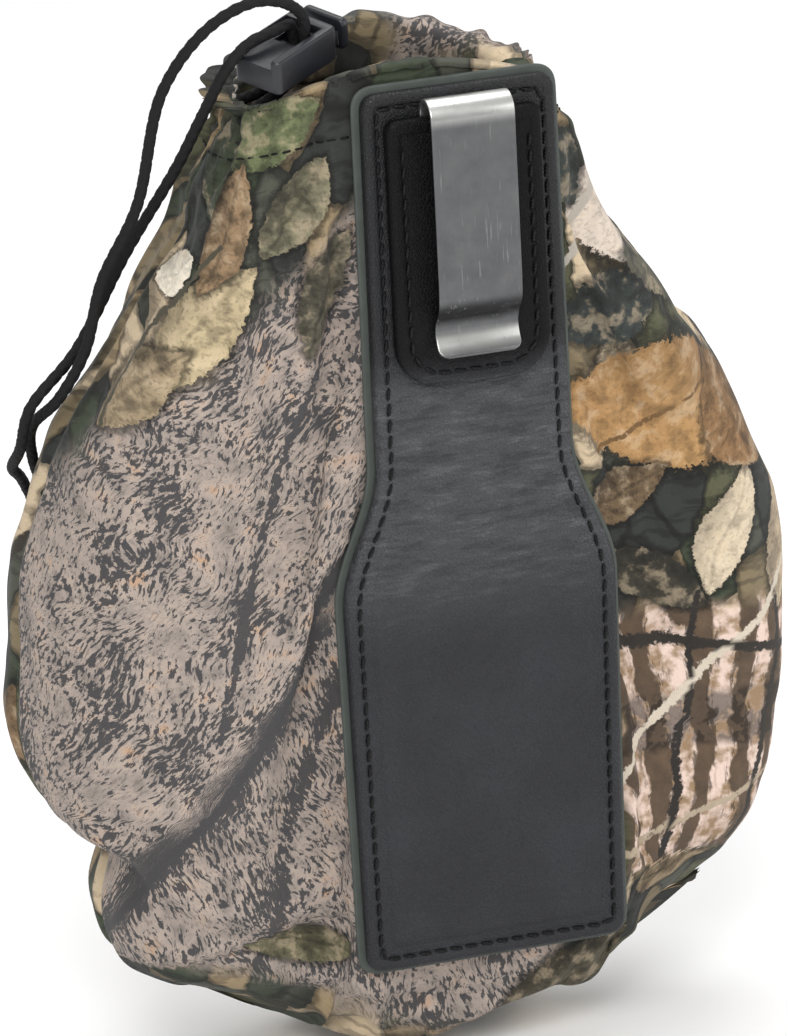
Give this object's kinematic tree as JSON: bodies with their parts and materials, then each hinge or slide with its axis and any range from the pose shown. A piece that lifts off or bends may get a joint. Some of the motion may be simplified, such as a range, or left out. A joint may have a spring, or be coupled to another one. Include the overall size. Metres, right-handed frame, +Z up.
{
  "type": "grunt tube call in a drawstring belt pouch",
  "caption": "Camouflage cloth drawstring pouch with a bottle-shaped leather belt panel and steel clip, holding a grunt tube call.",
  "frame": {"origin": "the middle of the belt clip's inner face, where the belt bears", "axes": "+Z up towards the mouth, -Y out of the leather panel's front, X across the panel"},
  "size_m": [0.199, 0.0935, 0.2722],
  "materials": {
    "cloth": "brushed camouflage print, matt",
    "leather": "semi-gloss grained leather",
    "backing": "matt dark green edge",
    "thread": "waxed black thread",
    "clip_steel": "dark satin spring steel",
    "rivet_steel": "plain steel",
    "cord": "braided black cord",
    "lock_plastic": "moulded black plastic",
    "spring_steel": "bright spring wire",
    "stiff_plastic": "stiff black sheet",
    "rubber": "soft black rubber",
    "tube_rubber": "matt flexible tube",
    "call_plastic": "moulded black plastic",
    "wood": "oiled turned hardwood",
    "tone_plastic": "moulded ivory plastic",
    "mylar": "clear frosted film"
  },
  "bodies": {
    "pouch": {"pouch_front_cloth": "cloth", "pouch_back_cloth": "cloth", "hem_thread": "thread", "panel_backing": "backing", "panel_stiffener": "stiff_plastic", "leather_panel": "leather", "panel_thread": "thread", "clip_patch": "leather", "patch_thread": "thread", "clip_rivet_lower": "rivet_steel", "clip_rivet_upper": "rivet_steel", "drawstring": "cord"},
    "clip": {"belt_clip": "clip_steel"},
    "lock": {"cord_lock_body": "lock_plastic", "cord_lock_spring": "spring_steel"},
    "button": {"cord_lock_button": "lock_plastic"},
    "call": {"bell": "call_plastic", "bell_collar": "call_plastic", "corrugated_tube": "tube_rubber"},
    "barrel": {"barrel": "wood", "barrel_o_ring": "rubber", "tube_collar": "call_plastic"},
    "mouthpiece": {"mouthpiece": "call_plastic", "mouthpiece_o_ring": "rubber", "tone_board": "tone_plastic", "reed_wedge": "rubber"},
    "reed": {"reed": "mylar"},
    "band": {"reed_band": "rubber"}
  },
  "joints": [
    {"name": "clip_flex", "type": "hinge", "parent": "pouch", "child": "clip", "pos_m": [0, 0.00365, 0.0255], "axis": [-1, 0, 0], "range_deg": [0, 8], "stiffness_Nm_per_rad": 2, "deforming": ["belt_clip"]},
    {"name": "lock_slide", "type": "slide", "parent": "pouch", "child": "lock", "axis": [-0.0868, -0.2586, 0.9621], "range_m": [0, 0.012], "deforming": ["drawstring"]},
    {"name": "lock_button_press", "type": "slide", "parent": "lock", "child": "button", "axis": [-0.8471, -0.4891, -0.2079], "range_m": [0, 0.0024], "stiffness_N_per_m": 400, "deforming": ["cord_lock_spring"]},
    {"name": "call_lift", "type": "slide", "parent": "pouch", "child": "call", "axis": [0, 0, 1], "range_m": [0, 0.26]},
    {"name": "tube_extend", "type": "slide", "parent": "call", "child": "barrel", "axis": [0, 0, 1], "range_m": [0, 0.04], "stiffness_N_per_m": 10, "deforming": ["corrugated_tube"]},
    {"name": "mouthpiece_pull", "type": "slide", "parent": "barrel", "child": "mouthpiece", "axis": [0, 0, 1], "range_m": [0, 0.03]},
    {"name": "reed_flutter", "type": "hinge", "parent": "mouthpiece", "child": "reed", "pos_m": [0.001, 0.03843, -0.037], "axis": [-1, 0, 0], "range_deg": [0, 2], "stiffness_Nm_per_rad": 0.01},
    {"name": "band_slide", "type": "slide", "parent": "mouthpiece", "child": "band", "axis": [0, 0, 1], "range_m": [0, 0.008]}
  ]
}
